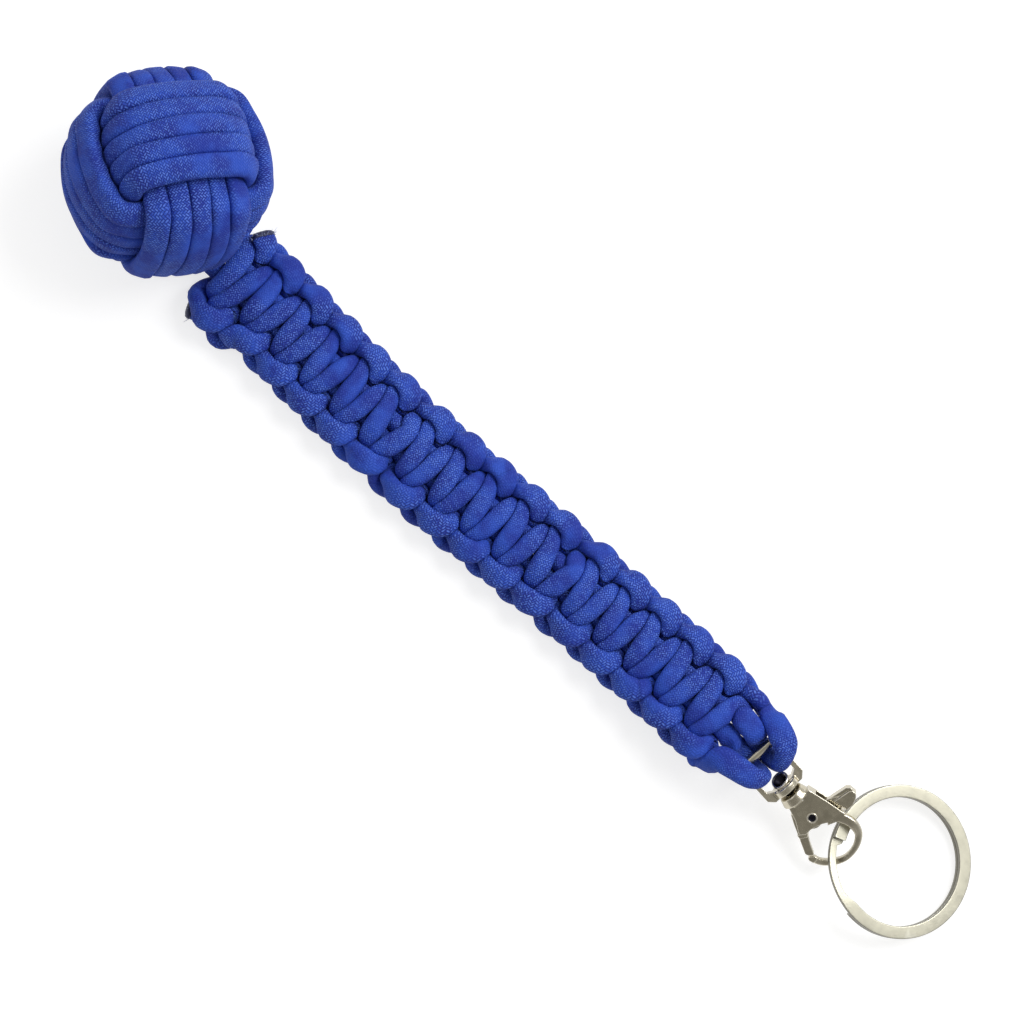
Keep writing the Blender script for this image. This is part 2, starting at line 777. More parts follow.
@dataclass
class Strap:
    """The woven strap: two working cords half-knotted round their own other ends, the core strands."""

    fist: Fist
    # Along the strap, counted from the ball's middle, with a little more at each bending line
    half_knots: int = 32
    knot_pitch: float = 4.3 * MM
    first_knot: float = 23.0 * MM
    flex_gap: float = 1.8 * MM
    flex_after: tuple[int, int] = (10, 20)
    neck: float = 18.6 * MM
    crossbar: float = 169.5 * MM
    crossbar_radius: float = 0.9 * MM
    # The middle line's height, which rises to the clasp
    height: float = 4.35 * MM
    end_rise: float = 5.1 * MM
    rise_length: float = 45.0 * MM
    # The cord's section along the half-knots, round the edges, in the bail and as a core strand
    half_width: float = 2.35 * MM
    edge_half_width: float = 2.85 * MM
    bail_half_width: float = 1.95 * MM
    half_thickness: float = 1.8 * MM
    core_half: float = 2.3 * MM
    # It spreads this far across the strap, and over what length
    edge_from: float = 4.0 * MM
    edge_over: float = 2 * MM
    # It stays nearly as wide this far before the crossbar on its way back
    return_from: float = 10 * MM
    return_less: float = 0.2 * MM
    # It is squeezed beyond the crossbar, over what length, and no farther across than this
    dive_over: float = 1.5 * MM
    dive_across: float = 4.6 * MM
    dive_across_over: float = 1.6 * MM
    # It is a core strand from this far before the crossbar, and over what length it becomes one
    core_from: float = 11 * MM
    core_over: float = 4 * MM
    # The strap's section is about an oval, so out of it is out of the oval, but off the crossbar near it
    oval_half_width: float = 8.8 * MM
    oval_half_height: float = 3.1 * MM
    oval_ratio: float = 2.8
    loop_from: float = 4 * MM
    loop_over: float = 3 * MM
    # The core strands: apart, and one up and one down, so that no gap is left between them
    core_spacing: float = 4.0 * MM
    core_lift: float = 0.7 * MM
    core_step: float = 4.0 * MM
    step: float = 0.5 * MM
    # One half-knot: places along (in half-knots), across and above (in millimetres)
    route: Points = (
        (-0.16, -2.1, 3.00), (-0.34, 0.9, 3.05), (-0.52, 3.8, 2.60), (-0.62, 6.4, 1.15), (-0.24, 8.0, -0.90),
        (0.18, 8.75, -2.20), (0.50, 8.6, -2.75), (0.94, 7.7, -2.70), (1.13, 5.45, -1.10), (0.92, 4.5, 1.55),
    )
    # The first and last half-knots are cut short: where the melted end lies, and where the loops begin
    route_cut: int = 6
    last_cut: tuple[int, int] = (7, 4)
    first_bulge: float = 1.28
    bulge_length: float = 8 * MM
    # Each cord's turn round the crossbar: places from the crossbar, across and above, in millimetres
    right_loop: Points = (
        (-8.4, 8.3, 0.6), (-6.2, 7.9, -0.3), (-4.3, 7.6, 0.3), (-2.8, 6.9, 2.4), (-0.8, 6.2, 3.8),
        (1.8, 5.4, 4.0), (3.5, 4.2, 3.2), (4.7, 2.5, 1.3), (4.3, 1.95, -0.9), (2.4, 1.9, -2.9),
        (-0.5, 2.0, -3.2), (-2.5, 2.1, -2.0), (-2.9, 2.4, 0.4), (-3.5, 2.7, 2.4), (-5.3, 2.8, 3.2),
        (-8.4, 3.0, 3.0), (-11.2, 2.8, 1.3), (-14.4, 2.2, 0.3),
    )
    left_loop: Points = (
        (-6.7, -8.8, -0.9), (-6.0, -7.9, 1.6), (-4.8, -6.5, 3.3), (-1.6, -5.6, 3.8), (1.3, -4.9, 3.6),
        (3.0, -4.0, 2.7), (3.8, -2.8, 1.0), (3.5, -2.0, -0.9), (2.0, -1.9, -2.8), (-0.8, -1.8, -3.1),
        (-3.4, -1.7, -1.7), (-6.2, -1.6, 0.4), (-10.4, -1.8, 0.6), (-14.4, -2.0, 0.0),
    )
    # The middle line's sideways place at distances from the ball, in millimetres
    drift: Outline = (
        (20.0, -3.1), (40.0, -4.3), (60.0, -4.9), (80.0, -4.8),
        (100.0, -3.5), (120.0, -2.3), (145.0, -1.7), (172.0, -2.4),
    )
    # Where each cord dives into the fist: back from the neck, above the middle, and on toward the ball
    root_back: float = 0.5 * MM
    root_above: float = 0.2 * MM
    root_share: float = 0.22
    wander_size: float = 0.10 * MM
    wander_wave: float = 8 * MM
    seed: int = 23
    # The bodies from the ball on, and half the length over which cord bends between two of them
    bodies: tuple[str, ...] = ("ball", "strap_upper", "strap_middle", "strap_lower")
    blend_half: float = 4.0 * MM
    neck_blend_half: float = 2.2 * MM
    # The bail's metal as rows of round places in its frame: the crossbar, the arms and the rivet's head
    bar_places: tuple[float, float, float] = (-4.5, 4.6, 0.5)
    arm_places: tuple[float, float, float] = (0.6, 7.5, 0.6)
    arm_across: float = 4.35
    arm_above: float = 0.45
    arm_radius: float = 0.7 * MM
    rivet_place: tuple[float, float, float] = (7.7, -0.2, 0.0)
    rivet_radius: float = 2.1 * MM
    # The scorched bead's rings: how far out, in millimetres, and how large beside the cord's last ring
    bead: Outline = ((-0.15, 0.99), (0.2, 1.06), (0.6, 1.05), (0.95, 0.92), (1.25, 0.66), (1.4, 0.3))
    bead_lumps: float = 0.05
    bead_seed: int = 31
    loose_threads: int = 22
    thread_radius: float = 0.07 * MM
    thread_lowest: float = 0.1 * MM

    def middle(self, distance: np.ndarray) -> np.ndarray:
        """Return the middle line's places at distances from the ball."""
        along, aside = (np.array(self.drift) * MM).T
        slopes = np.gradient(aside, along)
        kept = np.clip(distance, along[0], along[-1])
        index = np.clip(np.searchsorted(along, kept) - 1, 0, len(along) - 2)
        span = along[index + 1] - along[index]
        share = (kept - along[index]) / span
        ease = share * share * (3 - 2 * share)
        leave = share * (1 - share) ** 2 * slopes[index]
        arrive = share * share * (share - 1) * slopes[index + 1]
        side = aside[index] * (1 - ease) + aside[index + 1] * ease + (leave + arrive) * span
        rise = np.clip((distance - (self.crossbar - self.rise_length)) / self.rise_length, 0, 1)
        level = self.height + self.end_rise * rise * rise * (3 - 2 * rise)
        return np.column_stack([self.fist.ball_x + distance, side, level])

    def section(self, distance: np.ndarray) -> tuple[np.ndarray, np.ndarray]:
        """Return the strap's sideways and upward directions at distances from the ball."""
        ahead = unit(self.middle(distance + MM) - self.middle(distance - MM))
        side = unit(np.cross([0.0, 0.0, 1.0], ahead))
        return side, np.cross(ahead, side)

    def place(self, rows: Rows) -> np.ndarray:
        """Return world places for rows of distance from the ball, across and above the middle."""
        distance, across, above = np.asarray(rows, float).T
        side, up = self.section(distance)
        return self.middle(distance) + side * across[:, None] + up * above[:, None]

    def knot_distance(self, knot: float, segment: int) -> float:
        """Return how far a place counted in half-knots is from the ball, in a segment."""
        return self.first_knot + self.knot_pitch * knot + self.flex_gap * segment

    def hinge(self, segment: int) -> float:
        """Return how far the bending line after a segment is from the ball."""
        return self.knot_distance(self.flex_after[segment] + 0.5, segment) + self.flex_gap / 2

    def working_rows(self, face: Face) -> list[tuple[float, float, float]]:
        """Return a working cord's whole way along the strap, from its melted end to the last half-knot."""
        rows = []
        last = self.half_knots - 1
        for knot in range(-1, last + 1):
            segment = sum(knot > after for after in self.flex_after)
            side = (1 if knot % 2 == 0 else -1) * face.value
            start = self.route_cut if knot == -1 else 0
            end = self.last_cut[face is Face.BACK] if knot == last else len(self.route)
            for along, across, above in self.route[start:end]:
                distance = self.knot_distance(knot + along, segment)
                # The first turns bulge on the side that the neck leaves free
                free = across * side < 0 and distance < self.first_knot + self.bulge_length
                bulge = self.first_bulge if free else 1.0
                rows.append((distance, across * side * bulge * MM, above * face.value * MM))
        return rows

    def loop_rows(self, hand: Hand) -> list[tuple[float, float, float]]:
        """Return the cord's turn over the front of the bail's crossbar and back under it."""
        turn = self.right_loop if hand is Hand.RIGHT else self.left_loop
        return [(self.crossbar + along * MM, across * MM, above * MM) for along, across, above in turn]

    def core_rows(self, hand: Hand) -> list[tuple[float, float, float]]:
        """Return a core strand's way back from the crossbar to the neck."""
        side = hand.value * self.core_spacing / 2
        start = self.crossbar + self.left_loop[-1][0] * MM - self.core_step
        above = hand.value * self.core_lift
        return [(distance, side, above) for distance in np.arange(start, self.neck, -self.core_step)]

    def strand(self, face: Face, frame: Matrix, random: Random) -> Strand:
        """Return one whole cord, from its melted end through the weave and the loop back to the fist.

        Args:
            face: Which working cord it starts as.
            frame: The bail's frame.
            random: The seeded source of small differences.
        """
        hand = Hand.LEFT if face is Face.FRONT else Hand.RIGHT
        side = hand.value * self.core_spacing / 2
        root = self.place([(self.neck - self.root_back, side, self.root_above)])[0]
        inward = root + (self.fist.centre - root) * self.root_share
        rows = self.working_rows(face) + self.loop_rows(hand) + self.core_rows(hand)
        line = softened(rounded_line([*self.place(rows), root, inward], self.step), 2)
        line = line + wander(len(line), self.step, self.wander_size, self.wander_wave, random)
        wide, thin = self.sizes(line)
        return Strand(f"working_cord_{face.name.lower()}", line, self.flat(line, frame), wide, thin)

    def sizes(self, line: Line) -> tuple[np.ndarray, np.ndarray]:
        """Return a cord's half width and half thickness at each point of its line."""
        distance = line[:, 0] - self.fist.ball_x
        turn = int(np.argmax(distance))
        core = np.arange(len(line)) > turn
        inner = np.clip((self.crossbar - self.core_from - distance) / self.core_over, 0, 1)
        share = np.where(core, inner, 0.0)
        side, _ = self.section(distance)
        across = np.abs(np.sum((line - self.middle(distance)) * side, axis=1))
        # The cord spreads flat round the strap's edges, and is squeezed where it dives into the bail
        spread = np.clip((across - self.edge_from) / self.edge_over, 0, 1)
        wide = self.half_width + (self.edge_half_width - self.half_width) * spread
        returning = core & (distance > self.crossbar - self.return_from)
        wide = wide + (self.edge_half_width - self.return_less - wide) * returning
        inside = np.clip((distance - self.crossbar) / self.dive_over, 0, 1)
        inside = inside * np.clip((self.dive_across - across) / self.dive_across_over, 0, 1)
        wide = softened(wide + (self.bail_half_width - wide) * inside, 6)
        wide = wide + (self.core_half - wide) * share
        thin = self.half_thickness + (self.core_half - self.half_thickness) * share
        return wide, thin

    def flat(self, line: Line, frame: Matrix) -> np.ndarray:
        """Return the direction that the cord is squashed in: out of the strap, or off the crossbar."""
        distance = line[:, 0] - self.fist.ball_x
        side, up = self.section(distance)
        offset = line - self.middle(distance)
        across = np.sum(offset * side, axis=1) / self.oval_half_width
        above = np.sum(offset * up, axis=1) / self.oval_half_height
        out = (across * np.abs(across))[:, None] * side / self.oval_ratio
        out = out + (above * np.abs(above))[:, None] * up
        centre = np.array(frame.translation)
        bar = np.array(frame.col[1])[:3]
        away = line - centre
        away = away - (away @ bar)[:, None] * bar
        share = np.clip((distance - (self.crossbar - self.loop_from)) / self.loop_over, 0, 1)[:, None]
        return unit(unit(out) * (1 - share) + unit(away) * share)

    def obstacles(self, frame: Matrix) -> list[Obstacle]:
        """Return the bail's crossbar and arms as rows of round places, and the rivet's head as one."""
        bar = [(0.0, across, 0.0) for across in np.arange(*self.bar_places)]
        arms = [
            (along, side * self.arm_across, level * self.arm_above)
            for along in np.arange(*self.arm_places)
            for side in (-1, 1)
            for level in (-1, 1)
        ]
        rows = [(place, self.crossbar_radius + METAL_CLEAR) for place in bar]
        rows += [(place, self.arm_radius) for place in arms]
        rows.append((self.rivet_place, self.rivet_radius))
        return [Obstacle(np.array(frame @ (Vector(place) * MM)), radius) for place, radius in rows]

    def strands(self, frame: Matrix) -> list[Strand]:
        """Return the two cords of the strap."""
        random = np.random.default_rng(self.seed)
        return [self.strand(face, frame, random) for face in Face]

    def build(self, strands: list[Strand], finishes: Finishes) -> list[Object]:
        """Add the strap, cut into pieces that each cross one joint at most.

        Args:
            strands: The two cords, with their skins.
            finishes: The materials.

        Returns:
            The pieces.
        """
        pieces = []
        for face, strand in zip(Face, strands):
            pieces += self.cut(face, strand, finishes)
            pieces += self.melted_end(face, strand, finishes)
        return pieces

    def cut(self, face: Face, strand: Strand, finishes: Finishes) -> list[Object]:
        """Return the pieces of one cord.

        Args:
            face: Which working cord it starts as.
            strand: The cord, with its skin.
            finishes: The materials.
        """
        hand = "left" if face is Face.FRONT else "right"
        word = face.name.lower()
        distance = strand.line[:, 0] - self.fist.ball_x
        turn = int(np.argmax(distance))
        mid_upper = (self.neck + self.hinge(0)) / 2
        mid_middle = (self.hinge(0) + self.hinge(1)) / 2
        mid_lower = (self.hinge(1) + self.crossbar) / 2
        out = [int(np.argmax(distance[:turn] > place)) for place in (mid_middle, mid_lower)]
        homeward = (mid_lower, mid_middle, mid_upper)
        back = [turn + int(np.argmax(distance[turn:] < place)) for place in homeward]
        cuts = [0, *out, *back, len(strand.line) - 1]
        bends = (self.neck, self.hinge(0), self.hinge(1))
        # Each stretch's name, the bend that it crosses and the CAD nodes that it stands for
        plan = (
            (f"half_knots_{word}_upper", 1, (f"upper_working_cord_{word}", f"middle_working_cord_{word}")),
            (f"half_knots_{word}_middle", 2, (f"middle_working_cord_{word}", f"lower_working_cord_{word}")),
            (f"last_knots_{word}", None, (f"end_loop_{hand}", f"lower_working_cord_{word}")),
            (f"core_{hand}_lower", 2, (f"lower_core_strand_{hand}", f"middle_core_strand_{hand}")),
            (f"core_{hand}_middle", 1, (f"middle_core_strand_{hand}", f"upper_core_strand_{hand}")),
            (f"core_{hand}_neck", 0, (f"upper_core_strand_{hand}", f"neck_strand_{hand}")),
        )
        pieces = []
        for (name, bend, nodes), start, end in zip(plan, cuts, cuts[1:]):
            piece = cord_piece(name, strand, start, end, finishes.cord)
            if bend is None:
                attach(piece, self.bodies[-1])
            else:
                half = self.blend_half if bend else self.neck_blend_half
                places = self.middle(np.array([bends[bend] - half, bends[bend] + half]))
                places[:, 1:] = places[:, 1:].mean(axis=0)
                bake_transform(piece)
            for node in nodes:
                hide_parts(node)
            pieces.append(piece)
        return pieces

    def melted_end(self, face: Face, strand: Strand, finishes: Finishes) -> list[Object]:
        """Return the scorched tip of a cord and the loose filaments that stand out of it.

        Args:
            face: Which working cord it ends.
            strand: The cord, with its skin.
            finishes: The materials.
        """
        random = np.random.default_rng(self.bead_seed + face.value)
        word = "back" if face is Face.FRONT else "front"
        ring = strand.skin[0]
        middle = ring.mean(axis=0)
        away = unit(strand.line[0] - strand.line[2])
        rings = []
        for along, share in self.bead:
            lump = 1 + random.normal(0, self.bead_lumps, (len(ring), 1))
            rings.append(middle + away * along * MM + (ring - middle) * share * lump)
        line = np.array([row.mean(axis=0) for row in rings])
        tip = Strand("tip", line, rings[0], ring, ring, np.array(rings))
        bead = cord_piece(f"scorched_tip_{word}", tip, 0, len(rings) - 1, finishes.melted)
        settle(bead, "melted_cord", "strap_upper", f"melted_end_{word}")
        return [bead, self.filaments(word, ring, away, random, finishes)]

    def filaments(
        self, word: str, ring: np.ndarray, away: np.ndarray, random: Random, finishes: Finishes
    ) -> Object:
        """Return the loose filaments at a cut end, as one mesh of thin curved threads.

        Args:
            word: Which end it is.
            ring: The cord's last ring.
            away: The direction out of the cord's end.
            random: The seeded source of numbers.
            finishes: The materials.
        """
        builder = bmesh.new()
        middle = ring.mean(axis=0)
        for _ in range(self.loose_threads):
            share = random.uniform(0.75, 1.02)
            root = middle + (ring[random.integers(len(ring))] - middle) * share
            out = unit(unit(root - middle) * random.uniform(0.3, 0.9) + away * random.uniform(0.2, 1.0))
            bend = random.normal(0, 0.5, 3)
            reach = random.uniform(0.7, 1.7) * MM
            places = [root + (out + bend * share * 0.7) * reach * share for share in np.linspace(0, 1, 5)]
            # The table stops them from hanging down
            places = [np.array([*place[:2], max(place[2], self.thread_lowest)]) for place in places]
            tube_into(builder, places, lambda share: self.thread_radius * (1 - 0.6 * share), 5)
        name = f"loose_filaments_{word}"
        return settle(add_object(name, mesh_of(builder, name), finishes.fibre), "cord", "strap_upper")


# Metal shapes


def mesh_of(builder: Builder, name: str) -> bpy.types.Mesh:
    """Return a mesh builder's shapes as a mesh, and free the builder."""
    data = bpy.data.meshes.new(name)
    builder.to_mesh(data)
    builder.free()
    return data


def joined(builder: Builder, rings: Sequence[Sequence[bmesh.types.BMVert]], closed: bool = False) -> None:
    """Join rings of vertices by faces.

    Args:
        builder: The mesh builder.
        rings: The rings, each with as many vertices.
        closed: Whether the last ring joins up with the first. If not, both are capped.
    """
    pairs = list(zip(rings, rings[1:]))
    if closed:
        pairs.append((rings[-1], rings[0]))
    for one, after in pairs:
        for side in range(len(one)):
            turn = (side + 1) % len(one)
            builder.faces.new((one[side], one[turn], after[turn], after[side]))
    if not closed:
        builder.faces.new(reversed(rings[0]))
        builder.faces.new(rings[-1])


def tube_into(
    builder: Builder, places: Sequence[np.ndarray], radius: Callable[[float], float], sides: int
) -> None:
    """Add a capped tube to a mesh builder.

    Args:
        builder: The mesh builder.
        places: The tube's middle line.
        radius: Its radius by the share of the way along, from zero to one.
        sides: How many sides it has.
    """
    line = np.asarray(places, float)
    ahead = unit(np.gradient(line, axis=0))
    angles = np.linspace(0, FULL_TURN, sides, endpoint=False)
    across = np.cross(ahead[0], [0.31, 0.27, 0.91])
    rings = []
    for index, place in enumerate(line):
        across = unit(across - ahead[index] * (across @ ahead[index]))
        other = np.cross(ahead[index], across)
        size = radius(index / (len(line) - 1))
        ring = place + size * (np.cos(angles)[:, None] * across + np.sin(angles)[:, None] * other)
        rings.append([builder.verts.new(corner) for corner in ring])
    joined(builder, rings)


def rounded_oblong(sides: int, power: float) -> tuple[np.ndarray, np.ndarray]:
    """Return places round an oblong of half sizes one, its corners sharper the lower the power."""
    angles = np.linspace(0, FULL_TURN, sides, endpoint=False)
    cosine, sine = np.cos(angles), np.sin(angles)
    return np.sign(cosine) * np.abs(cosine) ** power, np.sign(sine) * np.abs(sine) ** power


def bar_into(builder: Builder, rows: Rows, step: float, sides: int) -> None:
    """Add a capped bar of rounded oblong section, level in its frame, to a mesh builder.

    Args:
        builder: The mesh builder.
        rows: Places and half sizes, in millimetres: along, across, above, half width, half height.
        step: The distance between its rings, in metres.
        sides: How many sides it has.
    """
    given = np.asarray(rows, float) * MM
    line = rounded_line(given[:, :3], step)
    along, stations = lengths(line), lengths(given[:, :3])
    numbers = np.arange(len(given))
    nearest = np.interp(along, stations * along[-1] / stations[-1], numbers)
    wide, tall = (np.interp(nearest, numbers, given[:, column]) for column in (3, 4))
    ahead = unit(np.gradient(line, axis=0))
    across = unit(np.cross([0.0, 0.0, 1.0], ahead))
    above = np.cross(ahead, across)
    cosine, sine = rounded_oblong(sides, 0.55)
    rings = []
    for row, place in enumerate(line):
        ring = place + cosine[:, None] * across[row] * wide[row] + sine[:, None] * above[row] * tall[row]
        rings.append([builder.verts.new(corner) for corner in ring])
    joined(builder, rings)


def prism_into(builder: Builder, outline: Outline, low: float, high: float) -> None:
    """Add a flat plate to a mesh builder, from an outline in millimetres between two heights in metres."""
    bottom = [builder.verts.new((x * MM, y * MM, low)) for x, y in outline]
    top = [builder.verts.new((x * MM, y * MM, high)) for x, y in outline]
    builder.faces.new(list(reversed(bottom)))
    builder.faces.new(top)
    for index in range(len(outline)):
        after = (index + 1) % len(outline)
        builder.faces.new((bottom[index], bottom[after], top[after], top[index]))


def turned_ring(
    builder: Builder, along: float, radius: float, steps: int, place: Matrix
) -> list[bmesh.types.BMVert]:
    """Return one new ring of vertices round a frame's X axis, from sizes in millimetres."""
    angles = np.linspace(0, FULL_TURN, steps, endpoint=False)
    corners = [Vector((along, radius * math.cos(angle), radius * math.sin(angle))) * MM for angle in angles]
    return [builder.verts.new(place @ corner) for corner in corners]


def lathe_into(builder: Builder, profile: Outline, steps: int, place: Matrix, closed: bool) -> None:
    """Add a shape turned round its frame's X axis.

    Args:
        builder: The mesh builder.
        profile: Places along and radii, in millimetres.
        steps: How many sides it has.
        place: The matrix that puts it in place.
        closed: Whether the profile joins up with its start, as for a hollow shape.
    """
    rings = [turned_ring(builder, along, radius, steps, place) for along, radius in profile]
    joined(builder, rings, closed)


def hollowed(
    name: str, builder: Builder, steps: int, bands: Sequence[int], finish: Material, bore: Material
) -> Object:
    """Return a turned piece with another material on the bands that lie inside it.

    Args:
        name: The piece's name.
        builder: Its shape, made of bands of as many faces each.
        steps: How many faces a band has.
        bands: Which bands lie inside.
        finish: The material outside.
        bore: The material inside.
    """
    bmesh.ops.recalc_face_normals(builder, faces=builder.faces)
    piece = add_object(name, mesh_of(builder, name), finish)
    piece.data.materials.append(bore)
    inside = [face // steps in bands for face in range(len(piece.data.polygons))]
    piece.data.polygons.foreach_set("material_index", np.array(inside, np.int32))
    return piece


def cast(name: str, builder: Builder, frame: Matrix, finish: Material, voxel: float, smooth: int) -> Object:
    """Fuse the shapes in a mesh builder into one skin with soft corners, as a casting has.

    Args:
        name: The piece's name.
        builder: Closed shapes in the frame's own coordinates.
        frame: The matrix that puts them in place.
        finish: The material.
        voxel: The size of the skin's cells.
        smooth: How many times the skin is smoothed.

    Returns:
        The piece.
    """
    bmesh.ops.recalc_face_normals(builder, faces=builder.faces)
    rough = mesh_of(builder, f"{name}_rough")
    made = bpy.data.objects.new(f"{name}_rough", rough)
    bpy.context.scene.collection.objects.link(made)
    fuse = made.modifiers.new("fuse", "REMESH")
    fuse.mode = "VOXEL"
    fuse.voxel_size = voxel
    ease = made.modifiers.new("ease", "SMOOTH")
    ease.factor = 0.5
    ease.iterations = smooth
    shape = bpy.data.meshes.new_from_object(made.evaluated_get(bpy.context.evaluated_depsgraph_get()))
    bpy.data.objects.remove(made)
    bpy.data.meshes.remove(rough)
    shape.name = name
    shape.materials.clear()
    shape.transform(frame)
    return add_object(name, shape, finish)


# The clasp


@dataclass
class Clasp:
    """The stirrup, rivet, hook, gate and pin of the swivel snap hook, in its own frame."""

    strap: Strap
    pitch: float = math.radians(6.2)
    yaw: float = math.radians(-3.5)
    roll: float = math.radians(8.0)
    turned: float = math.radians(14.1)
    inner_half: float = 3.8
    arm_width: float = 1.1
    thickness: float = 2.2
    base_start: float = 8.2
    base_end: float = 9.9
    fillet: float = 1.0
    chamfer: float = 1.2
    boss_radius: float = 3.1
    rim_lean: float = math.radians(32)
    disc_lean: float = math.radians(10)
    plate_half: float = 1.7
    slot_half: float = 1.23
    lever_half: float = 0.8
    lever_height: float = -0.33
    pivot: tuple[float, float] = (17.3, 0.1)
    # The cheeks' outline, and the shapes below, are as seen from above: along and across, in millimetres
    cheek: Outline = (
        (12.2, -2.1), (15.6, -3.0), (18.1, -4.3), (18.6, -4.3), (19.3, -3.3), (19.1, -1.9), (19.3, -0.5),
        (19.7, 0.9), (20.4, 2.3), (21.2, 3.3), (21.4, 3.8), (21.4, 5.0), (20.9, 5.9), (19.9, 5.6),
        (16.9, 4.9), (14.2, 4.1), (12.2, 3.5),
    )
    root: Outline = ((12.2, -2.1), (14.0, -2.55), (14.0, 4.05), (12.2, 3.5))
    nose: Outline = (
        (20.6, 1.4), (21.2, 3.3), (21.4, 3.8), (21.4, 5.0),
        (20.9, 5.9), (20.3, 5.7), (19.7, 4.3), (19.4, 2.8),
    )
    # The arm: along, across, above, half width, half height
    arm: tuple[tuple[float, float, float, float, float], ...] = (
        (20.2, 3.9, 0.55, 1.3, 1.15),
        (22.0, 4.95, 0.7, 1.15, 1.0),
        (23.6, 5.45, 0.8, 1.05, 0.9),
        (25.2, 5.35, 0.6, 0.95, 0.85),
        (26.6, 4.7, 0.3, 0.8, 0.8),
        (27.9, 3.1, 0.1, 0.72, 0.8),
        (28.6, 1.3, -0.1, 0.65, 0.8),
        (28.85, -0.5, -0.4, 0.65, 0.8),
        (28.6, -2.1, -0.7, 0.7, 0.8),
        (27.9, -3.6, -0.9, 0.74, 0.8),
        (26.8, -5.0, -0.9, 0.75, 0.8),
        (25.7, -5.75, -0.7, 0.75, 0.8),
        (24.7, -6.05, -0.5, 0.75, 0.75),
    )
    tip: Outline = ((23.75, -6.4), (23.9, -6.8), (24.4, -6.95), (25.4, -6.6), (25.2, -5.2), (24.45, -5.35))
    # The collar between the cheeks and the bail: along and radius
    collar: Outline = (
        (10.4, 1.25), (10.4, 2.5), (10.6, 2.75), (12.1, 3.2),
        (12.35, 3.1), (12.35, 2.5), (12.8, 2.4), (12.8, 1.25),
    )
    lever: Outline = (
        (15.6, -2.3), (14.5, -2.7), (14.4, -3.2), (16.4, -4.1), (19.3, -5.2), (22.7, -6.55), (23.3, -6.35),
        (24.1, -5.45), (23.8, -5.1), (21.8, -4.3), (20.3, -3.5), (19.3, -2.6), (19.2, 0.8), (18.6, 3.0),
        (19.4, 5.2), (20.3, 7.2), (18.2, 8.4), (16.6, 5.0), (15.7, 0.4),
    )
    lug: Outline = ((18.5, -5.0), (19.35, -5.1), (20.1, -3.6), (19.4, -2.9), (18.9, -3.4))
    pad: Outline = (
        (16.8, 5.5), (20.8, 6.5), (20.8, 8.2), (20.0, 9.7), (19.3, 10.3), (17.8, 10.1), (17.2, 9.4),
    )
    pad_top: Outline = (
        (17.7, 5.7), (20.8, 6.5), (20.8, 8.2), (20.0, 9.7), (19.3, 10.3), (18.4, 10.1), (18.0, 9.4),
    )
    # The rivet from its shank's inside round its outside to the flared rim and back into the bore:
    # along, radius, and the share of the rim's lean
    rivet_rings: Points = (
        (12.2, 0.80, 0.00), (12.2, 1.20, 0.00), (8.15, 1.20, 0.00), (8.00, 1.35, 0.30), (7.80, 1.55, 0.60),
        (7.55, 1.90, 0.90), (7.25, 2.05, 1.00), (7.03, 1.92, 1.00), (7.00, 1.72, 1.00), (7.15, 1.55, 1.00),
        (7.35, 1.40, 1.00), (7.75, 1.10, 0.70), (8.10, 0.90, 0.35), (8.40, 0.80, 0.00),
    )
    # The pin's head: how far beyond the cheek's face, and radius
    pin_head: Outline = (
        (-0.1, 0.85), (-0.1, 1.15), (0.12, 1.15), (0.24, 1.05),
        (0.26, 0.93), (0.18, 0.80), (0.03, 0.74), (0.02, 0.10),
    )
    pin_shank: float = 0.85

    def bail_frame(self) -> Matrix:
        """Return the bail's frame: X toward the hook's nose, Y along the crossbar."""
        place = self.strap.place([(self.strap.crossbar, 0.0, 0.0)])[0]
        turn = Matrix.Rotation(self.yaw, 4, "Z") @ Matrix.Rotation(self.pitch, 4, "Y")
        return Matrix.Translation(place) @ turn @ Matrix.Rotation(self.roll, 4, "X")

    def hook_frame(self) -> Matrix:
        """Return the hook's frame: the bail's, turned on the swivel."""
        return self.bail_frame() @ Matrix.Rotation(self.turned, 4, "X")

    def build(self, finishes: Finishes) -> list[Object]:
        """Add every piece of the clasp.

        Args:
            finishes: The materials.

        Returns:
            The pieces.
        """
        pieces = [
            self.bail(finishes),
            self.rivet(finishes),
            self.hook(finishes),
            self.gate(finishes),
            self.pin(finishes),
        ]
        repaint("gate_spring", finishes.spring)
        return pieces

    def bail(self, finishes: Finishes) -> Object:
        """Return the stirrup: a round crossbar, two flat arms and a base with a boss."""
        builder = bmesh.new()
        outer = self.inner_half + self.arm_width
        start, end, shoulder = self.base_start, self.base_end, self.base_end - self.chamfer
        half = self.thickness / 2 * MM
        bar = [np.array([0.0, across, 0.0]) * MM for across in np.linspace(-outer + 0.3, outer - 0.3, 9)]
        tube_into(builder, bar, lambda share: self.strap.crossbar_radius, 20)
        arm = ((-0.9, self.inner_half), (start + 0.6, self.inner_half), (shoulder, outer), (-0.4, outer))
        arm += ((-0.9, outer - 0.5),)
        for side in (1, -1):
            prism_into(builder, [(x, y * side) for x, y in arm][::side], -half, half)
        corner = start - self.fillet
        base = [(start, -2.2), (corner, -self.inner_half - 0.1), (corner, -outer + 0.2), (shoulder, -outer)]
        base.append((end, -outer + self.chamfer))
        base += [(x, -y) for x, y in reversed(base)]
        prism_into(builder, base, -half, half)
        wide, narrow = self.boss_radius, self.boss_radius - 0.2
        boss = ((start, 1.55), (start, narrow), (start + 0.15, wide))
        boss += ((end - 0.4, wide), (end - 0.2, narrow), (end - 0.2, 1.55))
        lathe_into(builder, boss, 40, self.leaning(8.9, self.disc_lean / 2), True)
        piece = cast("cast_bail", builder, self.bail_frame(), finishes.nickel, 0.11 * MM, 3)
        return settle(piece, "clasp_nickel", "bail", "swivel_bail")

